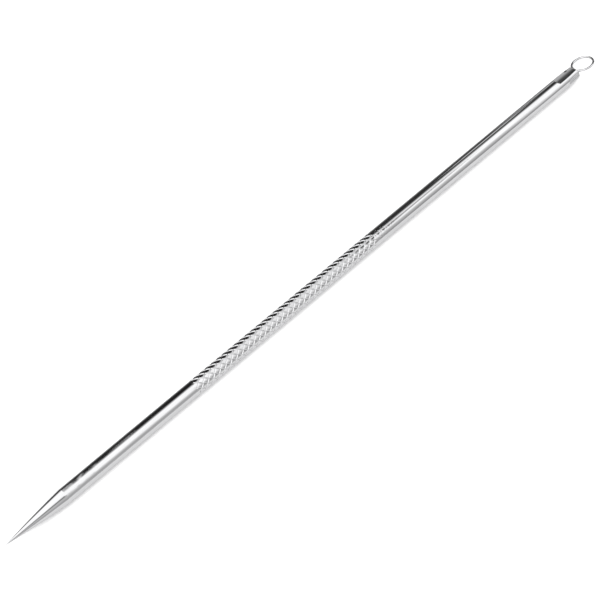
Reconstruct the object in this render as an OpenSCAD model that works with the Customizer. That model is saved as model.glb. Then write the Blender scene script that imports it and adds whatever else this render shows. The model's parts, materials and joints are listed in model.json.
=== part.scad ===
// Blackhead extractor: a knurled steel rod with a ground point at one end and a wire loop at the other.
// The rod lies along X with its point at -X, and rests on the plane Z = 0.

/* [Rod] */
// Diameter of the smooth shanks
rod_d = 2.5; // [2:0.1:4]
// Length of the ground point
point_len = 10.6; // [6:0.1:16]
// How far the side of the point bulges out of a straight cone
point_bulge = 0.08; // [0.02:0.01:0.15]
// Diameter of the small flat at the very tip
tip_d = 0.06; // [0.02:0.01:0.2]
// Length of the smooth shank between the point and the grip
front_shank_len = 24.6; // [12:0.1:40]
// Length of the smooth shank between the grip and the pressed end
rear_shank_len = 37.5; // [15:0.1:60]

/* [Grip] */
// Number of ridges that run round the grip each way
knurl_starts = 8; // [6:1:12]
// Distance from one ridge to the next along the rod
knurl_pitch = 1.142; // [0.8:0.001:1.6]
// Length of the grip
grip_len = 41.7; // [20:0.1:60]
// Length over which the knurl grows shallow at its loop end
grip_fade_len = 4.6; // [2:0.1:10]
// How far the crests of the ridges lie below the shank, where they are polished down
crest_polish = 0.01; // [0.01:0.01:0.04]
// How far the grooves are sunk below the shank
knurl_depth = 0.12; // [0.06:0.01:0.2]
// Share of their depth that the grooves keep where the knurl stops
fade_rest = 0.3; // [0.2:0.05:1]

/* [Pressed end] */
// Length of the end that is pressed on the wire
press_len = 4.2; // [3:0.1:8]
// Thickness across the two pressed flats
press_thick = 1.8; // [1.4:0.05:1.9]
// How much the pressed end's radius tapers down to the end face
end_taper = 0.15; // [0.05:0.01:0.25]
// Length of the step from the shank to the pressed end
press_step_len = 0.3; // [0.1:0.05:0.6]
// Chamfer round the end face
end_chamfer = 0.12; // [0.05:0.01:0.25]
// Depth of the sawn slot that takes the wire's legs
slot_depth = 2.6; // [1.5:0.1:2.9]
// Clearance between the wire and each side of the slot
slot_clearance = 0.05; // [0.02:0.01:0.1]

/* [Wire loop] */
// Diameter of the wire
wire_d = 0.4; // [0.3:0.05:0.6]
// Opening of the loop along the rod
loop_open_len = 3.22; // [2.6:0.02:5]
// Opening of the loop across the rod
loop_open_w = 3; // [2.4:0.02:4.5]
// How far the middle of the loop lies to one side of the rod
loop_offset = 0.33; // [-0.4:0.01:0.4]
// Gap between the end face and the nearest point of the loop's opening
loop_setback = 0.6; // [0.6:0.01:1.2]
// Inner radius of the bend from each leg into the loop
bend_inner_r = 0.1; // [0.05:0.01:0.3]
// Gap between the two legs
leg_gap = 0.1; // [0.05:0.01:0.3]
// Gap between the legs' ends and the bottom of the slot
leg_end_gap = 0.2; // [0.1:0.05:0.5]
// Turn of the loop and its slot about the rod's axis
loop_roll = -23.2; // [-90:0.1:90]

/* [Solder] */
// Diameter of the solder bead on the end face
bead_d = 1.3; // [1.2:0.05:1.4]
// How far the bead rises from the end face
bead_rise = 0.12; // [0.05:0.01:0.14]

/* [Hidden] */

// Fineness of the turned surfaces
turn_fn = 96;
// Sides of the wire's section, and the most that it turns from one ring of points to the next
wire_sides = 12;
wire_turn = 9;
// Straight steps along the curved sides of the point and of the solder bead
point_steps = 12;
bead_steps = 6;
// Room by which a cutting block runs past what it cuts
cut_over = 1;
// Depth of the grip's turned core below its grooves
core_depth = 0.1;
// Height above the shank at which the flats' ramps start
ramp_over = 0.02;
// Lengths by which the first row of the knurl and the grip's end face are let into the shank
row_bury = 0.05;
end_bury = 0.15;

rod_r = rod_d / 2;
tip_r = tip_d / 2;
end_r = rod_r - end_taper;
// Width of the cutting blocks, which run past the rod on both sides
block_w = 4 * rod_r;
ramp_top = rod_r + ramp_over;
crest_r = rod_r - crest_polish;
groove_r = rod_r - knurl_depth;
core_r = groove_r - core_depth;
wire_r = wire_d / 2;
slot_w = wire_d + 2 * slot_clearance;
leg_y = (wire_d + leg_gap) / 2;
bend_r = bend_inner_r + wire_r;

// The loop's centre line is an oval of circular arcs that meet at 45 degrees
oval_a = loop_open_len / 2 + wire_r;
oval_b = loop_open_w / 2 + wire_r;
oval_shift = (oval_a - oval_b) / (2 - sqrt(2));
end_arc_r = oval_a - oval_shift;
side_arc_r = oval_b + oval_shift;
loop_middle = loop_setback + loop_open_len / 2;

// Distances from the tip along the rod
grip_start = point_len + front_shank_len;
grip_end = grip_start + grip_len;
press_start = grip_end + rear_shank_len;
rod_len = press_start + press_len;
overall_len = rod_len + loop_middle + oval_a + wire_r;

// The knurl's crests and groove crossings lie on a grid of half pitches along and round the rod
knurl_len = grip_len + 2 * row_bury;
knurl_rows = round(2 * knurl_len / knurl_pitch);
knurl_sides = 2 * knurl_starts;
row_step = knurl_len / knurl_rows;

// How far the leaning loop reaches below the rod's axis
loop_drop = (oval_b + abs(loop_offset)) * abs(sin(loop_roll)) + wire_r;
// Height of the rod's axis above what the part lies on
rest_h = max(rod_r, loop_drop);

// Puts what is drawn along X from the tip into the part's frame
module along_rod() {
    translate([-overall_len / 2, 0, rest_h]) children();
}

// Puts what is drawn in the loop's plane, from the middle of the end face, into the part's frame
module at_rod_end() {
    along_rod() translate([rod_len, 0, 0]) rotate([loop_roll, 0, 0]) children();
}

// Radius of the point at a share of its length from the tip: a straight cone and a shallow parabola
function point_r(share) = tip_r + (rod_r - tip_r) * share + 4 * point_bulge * share * (1 - share);

// Outline of the turned rod as [radius, distance from the tip]
rod_outline = [
    [0, 0],
    for (i = [0:point_steps]) [point_r(i / point_steps), point_len * i / point_steps],
    [rod_r, grip_start],
    [core_r, grip_start],
    [core_r, grip_end],
    [rod_r, grip_end],
    [rod_r, press_start],
    [end_r, rod_len - end_chamfer],
    [end_r - end_chamfer, rod_len]
];

// Turns an outline of the rod that ends with the given points
module turned_rod(last_points) {
    rotate([0, 90, 0]) rotate_extrude($fn = turn_fn) polygon([each rod_outline, each last_points]);
}

// Blocks outside the two pressed flats, each with a ramp at its start, drawn in the loop's plane
module beyond_flats() {
    outline = [
        [-press_len, ramp_top],
        [-press_len + press_step_len, press_thick / 2],
        [cut_over, press_thick / 2],
        [cut_over, ramp_top + cut_over],
        [-press_len, ramp_top + cut_over]
    ];
    for (turn = [0, 180])
        rotate([90 + turn, 0, 0]) linear_extrude(height = block_w, center = true) polygon(outline);
}

// The slot that the wire's legs lie in, drawn in the loop's plane
module slot_block() {
    translate([-slot_depth, -block_w / 2, -slot_w / 2]) cube([slot_depth + cut_over, block_w, slot_w]);
}

// Number of a point on a surface of rings, with the points of each ring counted round
function grid(ring, side, sides) = ring * sides + side % sides;

// The four corners of one square of such a surface, in order round it
function grid_square(ring, side, sides) = [
    grid(ring, side, sides),
    grid(ring, side + 1, sides),
    grid(ring + 1, side + 1, sides),
    grid(ring + 1, side, sides)
];

// The flat faces that close such a surface at its first and last ring
function end_faces(last_ring, sides) = [
    [for (side = [0:sides - 1]) grid(0, side, sides)],
    [for (side = [0:sides - 1]) grid(last_ring, sides - 1 - side, sides)]
];

// Two triangles of a square, split from its first corner or from its second
function split_square(p, from_first) =
    from_first ? [[p[0], p[2], p[1]], [p[0], p[3], p[2]]] : [[p[0], p[3], p[1]], [p[1], p[3], p[2]]];

// Share of the grooves' full depth at a distance from the knurl's first row
function knurl_share(x) = fade_rest + (1 - fade_rest) * min(1, (knurl_len - x) / grip_fade_len);

function knurl_r(row, side) =
    let (share = knurl_share(row * row_step))
    (row + side) % 2 == 0 ? crest_r : rod_r - knurl_depth * share;

// Point of a ring, turned by half a side so that two lines of crests flank the bottom
function ring_point(x, r, side) =
    let (angle = 360 * (side + 0.5) / knurl_sides) [x, r * cos(angle), r * sin(angle)];

knurl_points = [
    for (side = [0:knurl_sides - 1]) ring_point(-end_bury, core_r, side),
    for (row = [0:knurl_rows], side = [0:knurl_sides - 1])
        ring_point(row * row_step - row_bury, knurl_r(row, side), side),
    for (side = [0:knurl_sides - 1]) ring_point(grip_len + end_bury, core_r, side)
];

// Each square is split from groove crossing to groove crossing, along the groove
knurl_last = knurl_rows + 2;
knurl_faces = [
    for (ring = [0:knurl_last - 1], side = [0:knurl_sides - 1])
        each split_square(grid_square(ring, side, knurl_sides), (ring + side) % 2 == 0),
    each end_faces(knurl_last, knurl_sides)
];

module knurled_grip() {
    translate([grip_start, 0, 0]) polyhedron(points = knurl_points, faces = knurl_faces);
}

module handle_rod() {
    color("silver") union() {
        difference() {
            along_rod() turned_rod([[0, rod_len]]);
            at_rod_end() beyond_flats();
            at_rod_end() slot_block();
        }
        along_rod() knurled_grip();
    }
}

// Points of a circular stretch of the wire's centre line, each as [x, y, heading]
function bend_route(centre, radius, from, to) =
    let (steps = ceil(abs(to - from) / wire_turn), way = to > from ? 90 : -90)
    [
        for (i = [0:steps])
            let (angle = from + (to - from) * i / steps)
            [centre.x + radius * cos(angle), centre.y + radius * sin(angle), angle + way]
    ];

function without_first(route) = [for (i = [1:len(route) - 1]) route[i]];

// Centre line from the bottom of the slot to the far end of the loop, on side 1 or -1 of the rod.
// Points on side -1 are given as if seen in a mirror, with y pointing the other way.
function half_route(side) =
    let (
        near_centre = [loop_middle - oval_shift, side * loop_offset],
        bend_y = leg_y + bend_r,
        across = bend_y - near_centre.y,
        along = sqrt(pow(end_arc_r + bend_r, 2) - pow(across, 2)),
        bend_x = near_centre.x - along,
        meet = atan2(across, -along)
    )
    [
        [leg_end_gap - slot_depth, leg_y, 0],
        each bend_route([bend_x, bend_y], bend_r, -90, meet - 180),
        each without_first(bend_route(near_centre, end_arc_r, meet, 135)),
        each without_first(bend_route([loop_middle, side * loop_offset - oval_shift], side_arc_r, 135, 45)),
        each without_first(bend_route([loop_middle + oval_shift, side * loop_offset], end_arc_r, 45, 0))
    ];

near_half = half_route(1);
far_half = half_route(-1);
wire_route = [
    each near_half,
    for (i = [len(far_half) - 2:-1:0]) [far_half[i].x, -far_half[i].y, 180 - far_half[i].z]
];

// The wire's surface: a ring of points square to each point of its route
wire_points = [
    for (stop = wire_route, side = [0:wire_sides - 1])
        let (angle = 360 * side / wire_sides, across = wire_r * cos(angle))
        [stop.x - across * sin(stop.z), stop.y + across * cos(stop.z), wire_r * sin(angle)]
];

wire_last = len(wire_route) - 1;
wire_faces = [
    for (ring = [0:wire_last - 1], side = [0:wire_sides - 1])
        each split_square(grid_square(ring, side, wire_sides), false),
    each end_faces(wire_last, wire_sides)
];

module bent_wire() {
    at_rod_end() polyhedron(points = wire_points, faces = wire_faces);
}

module wire_loop() {
    color("gainsboro") bent_wire();
}

// Holes that the wire's straight legs leave in the solder
module leg_holes() {
    length = slot_depth - leg_end_gap + bead_rise + cut_over;
    for (side = [-1, 1])
        translate([leg_end_gap - slot_depth, side * leg_y, 0]) rotate([0, 90, 0])
            cylinder(d = wire_d, h = length, $fn = turn_fn);
}

// Outline of the low bead of solder on the end face, from its rim to its top: a quarter of an ellipse
bead_outline = [
    for (i = [0:bead_steps])
        let (angle = 90 * i / bead_steps) [bead_d / 2 * cos(angle), rod_len + bead_rise * sin(angle)]
];

// The slot's space with the open space past the end face, drawn in the loop's plane
module slot_and_beyond() {
    outline = [
        [-slot_depth, -slot_w / 2],
        [0, -slot_w / 2],
        [0, -block_w / 2],
        [cut_over, -block_w / 2],
        [cut_over, block_w / 2],
        [0, block_w / 2],
        [0, slot_w / 2],
        [-slot_depth, slot_w / 2]
    ];
    rotate([90, 0, 0]) linear_extrude(height = block_w, center = true) polygon(outline);
}

module solder_fill() {
    color("lightgray") difference() {
        intersection() {
            along_rod() turned_rod(bead_outline);
            at_rod_end() slot_and_beyond();
        }
        at_rod_end() leg_holes();
    }
}

handle_rod();
wire_loop();
solder_fill();
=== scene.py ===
"""Looks of a blackhead extractor: a polished rod with a lancet point, a knurled grip and a wire loop.

Every length is in metres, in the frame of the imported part: +X runs along the rod from the point to the
loop, and +Z is up from the plane that the rod lies on.
"""

import json
import logging
import math
from dataclasses import dataclass
from enum import Enum

import bmesh
import bpy
import numpy as np
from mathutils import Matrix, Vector


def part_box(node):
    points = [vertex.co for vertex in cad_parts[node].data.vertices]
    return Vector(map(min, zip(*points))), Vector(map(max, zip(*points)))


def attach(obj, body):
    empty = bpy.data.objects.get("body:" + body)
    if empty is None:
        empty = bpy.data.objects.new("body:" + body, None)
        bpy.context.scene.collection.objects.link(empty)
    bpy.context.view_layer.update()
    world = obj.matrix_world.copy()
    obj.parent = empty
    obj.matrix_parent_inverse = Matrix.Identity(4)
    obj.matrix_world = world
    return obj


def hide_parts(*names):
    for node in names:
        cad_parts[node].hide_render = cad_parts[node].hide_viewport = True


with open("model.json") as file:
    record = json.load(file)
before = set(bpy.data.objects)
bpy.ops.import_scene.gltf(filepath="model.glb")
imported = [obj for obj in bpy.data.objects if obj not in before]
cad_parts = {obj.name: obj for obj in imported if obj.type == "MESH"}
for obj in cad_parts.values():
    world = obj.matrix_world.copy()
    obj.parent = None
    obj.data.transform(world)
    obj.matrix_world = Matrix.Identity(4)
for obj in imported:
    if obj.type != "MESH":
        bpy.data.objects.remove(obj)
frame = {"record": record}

MM = 0.001
# Points that lie closer than this are welded
WELD_DISTANCE = 0.0008 * MM
# Edges that turn by more than this are shown sharp
SHARP_ANGLE = math.radians(24.0)
# Keeps a division by a sine away from zero
LEAST_SINE = 1e-6
# The point attribute from which the finish paints shade in grooves and along the slot's lips
GROOVE_SHADE_ATTRIBUTE = "groove"
WHITE = (1.0, 1.0, 1.0, 1.0)

Socket = bpy.types.NodeSocket
Triple = tuple[float, float, float]

log = logging.getLogger("extractor")


class Slot(Enum):
    """The record's material slots."""

    STEEL = "polished_steel"
    WIRE = "bright_wire"
    SOLDER = "solder"


class CadNode(Enum):
    """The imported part's nodes."""

    ROD = "handle_rod"
    LOOP = "wire_loop"
    SOLDER = "solder_fill"


# Curves and shares that several pieces use


def smooth_step(value: np.ndarray, start: float, end: float) -> np.ndarray:
    """Rises from 0 at start to 1 at end on the cubic 3t^2 - 2t^3.

    Args:
        value: Where the curve is read.
        start: The value at which it leaves 0.
        end: The value at which it reaches 1; it may be below start.

    Returns:
        The curve's height at each value.
    """
    share = np.clip((value - start) / (end - start), 0.0, 1.0)
    return share * share * (3.0 - 2.0 * share)


def bell(value: np.ndarray, middle: float, width: float) -> np.ndarray:
    """The bell curve exp(-d^2), where d is the distance from the middle in widths."""
    return np.exp(-(((value - middle) / width) ** 2))


def triangle_wave(turns: np.ndarray) -> np.ndarray:
    """Is 0 at whole turns and 1 half way between them, with straight lines from one to the other."""
    return 2.0 * np.abs(turns - np.round(turns))


# What the frame says


@dataclass(frozen=True)
class ToolFrame:
    """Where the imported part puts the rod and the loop.

    Attributes:
        tip_x: The lancet point's tip.
        shoulder_x: Where the point meets the shank.
        grip_x: Where the knurl starts.
        end_x: The rod's far end face.
        rod_r: The rod's radius.
        axis_z: The height of the rod's axis.
        eye_x: The middle of the loop along the rod.
        eye_shift: How far the loop's middle lies off the axis, along across.
        across: Unit vector in the loop's plane, square to the rod.
        facing: Unit vector square to the loop's plane.
    """

    tip_x: float
    shoulder_x: float
    grip_x: float
    end_x: float
    rod_r: float
    axis_z: float
    eye_x: float
    eye_shift: float
    across: np.ndarray
    facing: np.ndarray

    @classmethod
    def from_frame(cls, record: dict) -> "ToolFrame":
        """Reads the rod's box and the two mounts.

        Args:
            record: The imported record.

        Returns:
            The sizes and directions that every piece is built from.
        """
        mounts = {mount["name"]: mount for mount in record["mounts"]}
        seat = mounts["cap_seat"]
        eye = mounts["hang_eye"]
        lowest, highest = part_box(CadNode.ROD.value)
        half_seat = seat["dims"]["length_mm"] * MM / 2.0
        facing = np.array(eye["axis"], dtype=float)
        facing /= np.linalg.norm(facing)
        across = np.cross(facing, (1.0, 0.0, 0.0))
        axis_z = seat["pos_m"][2]
        off_axis = np.array(eye["pos_m"]) - np.array((0.0, 0.0, axis_z))
        return cls(
            tip_x=lowest[0],
            shoulder_x=seat["pos_m"][0] - half_seat,
            grip_x=seat["pos_m"][0] + half_seat,
            end_x=highest[0],
            rod_r=seat["dims"]["r_mm"] * MM,
            axis_z=axis_z,
            eye_x=eye["pos_m"][0],
            eye_shift=float(off_axis @ across),
            across=across,
            facing=facing,
        )

    def place(self, x: np.ndarray, aside: np.ndarray, above: np.ndarray) -> np.ndarray:
        """Turns sizes in the loop's plane into points of the frame.

        Args:
            x: Place along the rod.
            aside: Distance from the axis along across.
            above: Distance from the axis along facing.

        Returns:
            The points, with x, y and z in the last dimension.
        """
        x, aside, above = np.broadcast_arrays(x, aside, above)
        points = aside[..., None] * self.across + above[..., None] * self.facing
        points[..., 0] += x
        points[..., 2] += self.axis_z
        return points

    def down_angle(self) -> float:
        """The angle of straight down, turned from across towards facing."""
        return math.atan2(-self.facing[2], -self.across[2])


# Meshes made of grids


class Shell:
    """Grids of points that are welded into one closed mesh."""

    def __init__(self) -> None:
        """Starts with no grids."""
        self.points: list[np.ndarray] = []
        self.grooves: list[np.ndarray] = []
        self.faces: list[np.ndarray] = []
        self.count = 0

    def add(self, points: np.ndarray, wrap: bool = False, grooves: np.ndarray | None = None) -> None:
        """Adds the faces between neighbours of a grid of points.

        Args:
            points: The grid, as rows, columns and x, y, z.
            wrap: Whether the last column joins the first.
            grooves: How deep each point lies in a groove, from 0 to 1, which the finish paints as shade.
                Where it is given, the faces are cut in two along the groove.
        """
        rows, columns = points.shape[:2]
        index = np.arange(rows * columns).reshape(rows, columns) + self.count
        if wrap:
            index = np.concatenate([index, index[:, :1]], axis=1)
        corners = (index[:-1, :-1], index[:-1, 1:], index[1:, 1:], index[1:, :-1])
        faces = np.stack(corners, axis=-1).reshape(-1, 4)
        self.points.append(points.reshape(-1, 3))
        self.grooves.append(np.zeros(rows * columns) if grooves is None else grooves.ravel())
        self.faces.append(faces if grooves is None else self.cut(faces, grooves.ravel()))
        self.count += rows * columns

    def cut(self, faces: np.ndarray, depth: np.ndarray) -> np.ndarray:
        """Cuts four-sided faces in two, along the floor of a groove or else along the edge of its land.

        Args:
            faces: The faces' corners, counted through all grids so far.
            depth: How deep each point of the newest grid lies in a groove.

        Returns:
            Two triangles for each face.
        """
        first, second, third, fourth = (depth[faces[:, corner] - self.count] for corner in range(4))
        on_floor = np.minimum(first, third) > np.maximum(second, fourth)
        off_floor = np.minimum(second, fourth) > np.maximum(first, third)
        straight = on_floor | (~off_floor & (first + third < second + fourth))
        one_way = faces[straight][:, [[0, 1, 2], [0, 2, 3]]].reshape(-1, 3)
        other_way = faces[~straight][:, [[0, 1, 3], [1, 2, 3]]].reshape(-1, 3)
        return np.concatenate([one_way, other_way])

    def build(self, name: str) -> bpy.types.Object:
        """Welds the grids, turns every face outwards and shades them smooth between sharp edges.

        Args:
            name: The new object's name.

        Returns:
            The object, linked into the scene.
        """
        mesh = bpy.data.meshes.new(name)
        faces = [face for grid in self.faces for face in grid.tolist()]
        mesh.from_pydata(np.concatenate(self.points), [], faces)
        groove = mesh.attributes.new(GROOVE_SHADE_ATTRIBUTE, "FLOAT", "POINT")
        groove.data.foreach_set("value", np.concatenate(self.grooves).astype(np.float32))
        work = bmesh.new()
        work.from_mesh(mesh)
        bmesh.ops.remove_doubles(work, verts=work.verts, dist=WELD_DISTANCE)
        bmesh.ops.recalc_face_normals(work, faces=work.faces)
        open_edges = sum(1 for edge in work.edges if not edge.is_manifold)
        work.to_mesh(mesh)
        work.free()
        mesh.shade_smooth()
        mesh.set_sharp_from_angle(angle=SHARP_ANGLE)
        mesh.validate()
        piece = bpy.data.objects.new(name, mesh)
        bpy.context.scene.collection.objects.link(piece)
        triangles = sum(len(polygon.vertices) - 2 for polygon in mesh.polygons)
        log.info("%s: %d triangles, %d open edges", name, triangles, open_edges)
        return piece


# The handle rod, one stretch after the other


@dataclass(frozen=True)
class LancetPoint:
    """The ground point: a round cone that swells a little and ends in a tiny rounded tip.

    Attributes:
        tool: The frame's places.
        tip_r: Radius of the rounded tip.
        bulge: How far the cone swells half way along.
        tip_rings: Rings over the rounded tip.
        rings: Rings from there to the shoulder.
        grind_pitch: Length of the grinding marks.
        grind_depth: Their height half way along the point.
        grind_bow: How far the marks bow round the point, in radians.
        grind_slow: Rate of the slower marks that cross them, as a share.
        grind_round: How many of the slower marks go round.
    """

    tool: ToolFrame
    tip_r: float = 0.03 * MM
    bulge: float = 0.08 * MM
    tip_rings: int = 8
    rings: int = 56
    grind_pitch: float = 0.9 * MM
    grind_depth: float = 0.0006 * MM
    grind_bow: float = 1.3
    grind_slow: float = 0.37
    grind_round: float = 2.0

    def stations(self) -> np.ndarray:
        """Places of the rings, close together at the tip.

        Returns:
            Their places along the rod, in order.
        """
        turn = np.linspace(0.0, math.pi / 2.0, self.tip_rings)
        tip = self.tool.tip_x + self.tip_r * (1.0 - np.cos(turn))
        rest = np.linspace(tip[-1], self.tool.shoulder_x, self.rings)
        return np.concatenate([tip, rest[1:]])

    def radius(self, x: np.ndarray, angle: np.ndarray) -> np.ndarray:
        """A straight cone plus a parabola that is highest half way, times a quarter circle at the tip.

        The grinding marks are the product of two sine waves that run aslant round the point.

        Args:
            x: Places along the rod.
            angle: Angles round it.

        Returns:
            The radius for each pair of the two.
        """
        length = self.tool.shoulder_x - self.tool.tip_x
        share = np.clip((x - self.tool.tip_x) / length, 0.0, 1.0)
        cone = self.tip_r + (self.tool.rod_r - self.tip_r) * share
        swollen = cone + 4.0 * self.bulge * share * (1.0 - share)
        left = 1.0 - np.clip((x - self.tool.tip_x) / self.tip_r, 0.0, 1.0)
        rounding = np.sqrt(np.maximum(0.0, 1.0 - left * left))
        turns = (x - self.tool.tip_x) / self.grind_pitch
        quick = np.sin(math.tau * turns + self.grind_bow * np.cos(angle))
        slow = np.sin(math.tau * self.grind_slow * turns + self.grind_round * angle)
        return swollen * rounding + self.grind_depth * quick * slow * share * (1.0 - share) * 4.0


@dataclass(frozen=True)
class FrontShank:
    """The smooth shank behind the point, hand ground a little uneven near the point's shoulder.

    Attributes:
        tool: The frame's places.
        uneven_len: Length of the uneven stretch.
        uneven_depth: Depth of its deepest dents.
        uneven_pitch: Length of a dent.
        uneven_rings: Rings on the uneven stretch.
        even_rings: Rings from there to the grip.
        fade_in: Share of the uneven stretch over which the dents grow.
        wide_round: How many wide dents go round the rod.
        wide_twist: How far they turn over one dent's length, in radians.
        fine_round: How many fine dents go round the rod.
        fine_rate: How many fine dents to a wide one along the rod.
        shares: Shares of the depth: the same all over, from the wide dents, from the fine ones.
    """

    tool: ToolFrame
    uneven_len: float = 11.0 * MM
    uneven_depth: float = 0.013 * MM
    uneven_pitch: float = 2.6 * MM
    uneven_rings: int = 84
    even_rings: int = 22
    fade_in: float = 0.4
    wide_round: float = 3.0
    wide_twist: float = 0.8
    fine_round: float = 5.0
    fine_rate: float = 1.7
    shares: Triple = (0.5, 0.3, 0.2)

    def stations(self) -> np.ndarray:
        """Places of the rings, close together where the shank is uneven.

        Returns:
            Their places along the rod, in order.
        """
        middle = self.tool.shoulder_x + self.uneven_len
        near = np.linspace(self.tool.shoulder_x, middle, self.uneven_rings)
        far = np.linspace(middle, self.tool.grip_x, self.even_rings)
        return np.concatenate([near[1:], far[1:]])

    def change(self, x: np.ndarray, angle: np.ndarray) -> np.ndarray:
        """Shallow dents only, deepest near the shoulder: two crossed waves, of three and five round the rod.

        Args:
            x: Places along the rod.
            angle: Angles round it.

        Returns:
            How far the surface lies below the rod's radius, as a change of 0 or less.
        """
        run = (x - self.tool.shoulder_x) / self.uneven_pitch
        start = self.tool.shoulder_x
        grown = smooth_step(x, start, start + self.fade_in * self.uneven_len)
        fade = grown * smooth_step(x, start + self.uneven_len, start)
        wide = np.sin(math.tau * run + 1.0) * np.cos(self.wide_round * angle + self.wide_twist * run)
        fine = np.sin(math.tau * self.fine_rate * run) * np.cos(self.fine_round * angle - 0.5)
        all_over, from_wide, from_fine = self.shares
        return -self.uneven_depth * fade * (all_over + from_wide * wide + from_fine * fine)


@dataclass(frozen=True)
class KnurledGrip:
    """Two families of rolled grooves that cross, and leave flat-topped diamonds between them.

    Attributes:
        tool: The frame's places.
        starts: How many grooves of one family start round the rod.
        pitch: Length along the rod from one row of diamonds to the next.
        length: Length of the grip with its run-out.
        lead_in: Length over which the grooves reach their depth.
        run_out: Length of the faint grooves behind the deep ones.
        run_out_depth: Depth of the faint grooves, as a share.
        run_out_blend: Half the length over which the deep grooves become faint.
        depth: Depth of a groove below the diamonds, which are as high as the shank.
        shade_and_dirt: Depth at which the finish takes a full groove, from 0 to 1; the finish paints it as
            shade.
        rows_per_pitch: Rows of points to a pitch.
        groove_rows: Width of a groove, in rows.
        shift_rows: How far the first row of diamonds lies behind the grip's start, in rows.
    """

    tool: ToolFrame
    starts: int = 8
    pitch: float = 1.142 * MM
    length: float = 41.7 * MM
    lead_in: float = 0.7 * MM
    run_out: float = 4.8 * MM
    run_out_depth: float = 0.16
    run_out_blend: float = 0.6 * MM
    depth: float = 0.082 * MM
    # Share of painted shade at the bottom of a full groove
    shade_and_dirt: float = 0.3
    rows_per_pitch: int = 14
    groove_rows: int = 4
    shift_rows: int = 4

    def stations(self) -> np.ndarray:
        """Places of the rings, a whole number to a pitch, so that the grooves run along the grid."""
        count = math.floor(self.length / self.pitch * self.rows_per_pitch)
        return self.tool.grip_x + np.arange(1, count) * self.pitch / self.rows_per_pitch

    def columns(self) -> int:
        """How many columns of points go round the rod."""
        return self.starts * self.rows_per_pitch

    def strength(self, x: np.ndarray) -> np.ndarray:
        """Share of the full depth: a short lead-in, then a long faint run-out.

        Args:
            x: Places along the rod.

        Returns:
            A share from 0 to 1 for each place.
        """
        end = self.tool.grip_x + self.length
        blend_x = end - self.run_out
        strong = smooth_step(x, blend_x + self.run_out_blend, blend_x - self.run_out_blend)
        faint = self.run_out_depth * smooth_step(x, end, blend_x)
        led_in = smooth_step(x, self.tool.grip_x, self.tool.grip_x + self.lead_in)
        return led_in * np.maximum(strong, faint)

    def height(self, x: np.ndarray, angle: np.ndarray) -> np.ndarray:
        """The lower of two triangle waves, one across each family of grooves, cut off flat at their edges.

        The waves are turned so that grooves of the two families cross straight below the rod, to the
        nearest column of points.

        Args:
            x: Places along the rod.
            angle: Angles round it, from across towards facing.

        Returns:
            0 at the bottom of a groove and 1 on a diamond's top.
        """
        quarter = 0.25 - self.starts * self.tool.down_angle() / math.tau
        phase = round(quarter * self.rows_per_pitch) / self.rows_per_pitch
        around = self.starts * angle / math.tau + phase
        along = (x - self.tool.grip_x) / self.pitch - self.shift_rows / self.rows_per_pitch
        lower = np.minimum(triangle_wave(around + along), triangle_wave(around - along))
        edge = self.groove_rows / self.rows_per_pitch
        return np.minimum(1.0, lower / edge)

    def change(self, x: np.ndarray, angle: np.ndarray) -> np.ndarray:
        """The change of the rod's radius, which is 0 on the diamonds and below 0 in the grooves."""
        return -self.strength(x) * (self.depth * (1.0 - self.height(x, angle)))

    def grooves(self, x: np.ndarray, angle: np.ndarray) -> np.ndarray:
        """How deep each point lies in a groove, from 0 to 1, which the finish paints as shade."""
        # Painted shade: the finish darkens the tint by this value in the grooves
        return self.shade_and_dirt * self.strength(x) * (1.0 - self.height(x, angle))


@dataclass(frozen=True)
class RearShank:
    """The smooth shank between the grip and the pressed end.

    Attributes:
        tool: The frame's places.
        start_x: Where the knurl's run-out ends.
        end_x: Where the pressing starts.
        rings: Rings along it.
    """

    tool: ToolFrame
    start_x: float
    end_x: float
    rings: int = 50

    def stations(self) -> np.ndarray:
        """Places of the rings, evenly spaced."""
        return np.linspace(self.start_x, self.end_x, self.rings)


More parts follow.
